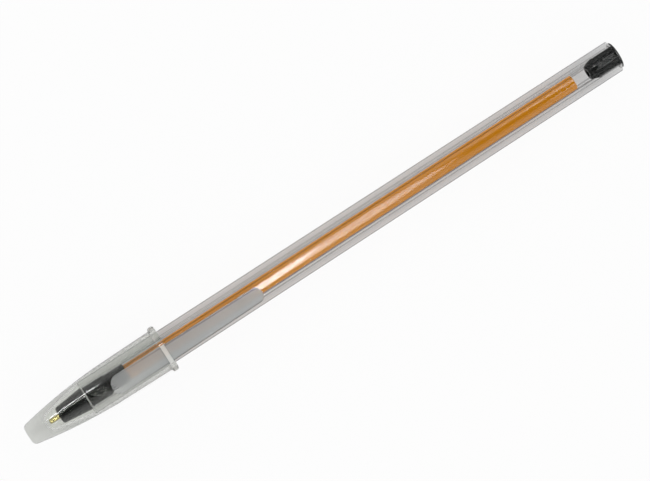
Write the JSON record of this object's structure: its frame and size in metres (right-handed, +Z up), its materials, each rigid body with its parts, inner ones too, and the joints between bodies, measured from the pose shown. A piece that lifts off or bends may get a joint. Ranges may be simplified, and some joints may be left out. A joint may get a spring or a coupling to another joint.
{
  "type": "stick ballpoint pen",
  "caption": "Clear hexagonal stick ballpoint pen with an orange ink tube, black end plug and nose cone, brass point, and a clear push-on cap with a collar and tongue clip.",
  "frame": {"origin": "middle of the end plug's flat rear face, on the pen's axis", "axes": "+X along the pen out of the rear face, the nose towards -X; +Z up, through the barrel's top flat"},
  "size_m": [0.1489, 0.0107, 0.0106],
  "materials": {
    "clear_barrel": "clear polished moulded plastic",
    "clear_cap": "clear moulded plastic, slightly milky",
    "black_plastic": "black moulded plastic",
    "orange_tube": "opaque orange extruded plastic",
    "ink": "black oil ink",
    "brass": "turned brass",
    "carbide": "ground hard metal"
  },
  "bodies": {
    "pen": {"barrel": "clear_barrel", "end_plug": "black_plastic", "nose_cone": "black_plastic", "ink_tube": "orange_tube", "ink_column": "ink", "point_socket": "brass"},
    "cap": {"cap": "clear_cap"},
    "ball": {"writing_ball": "carbide"}
  },
  "joints": [
    {"name": "cap_pull", "type": "slide", "parent": "pen", "child": "cap", "axis": [-1, 0, 0], "range_m": [0, 0.06]},
    {"name": "ball_roll", "type": "hinge", "parent": "pen", "child": "ball", "pos_m": [-0.1435, 0, 0], "axis": [0, 1, 0], "continuous": true}
  ]
}
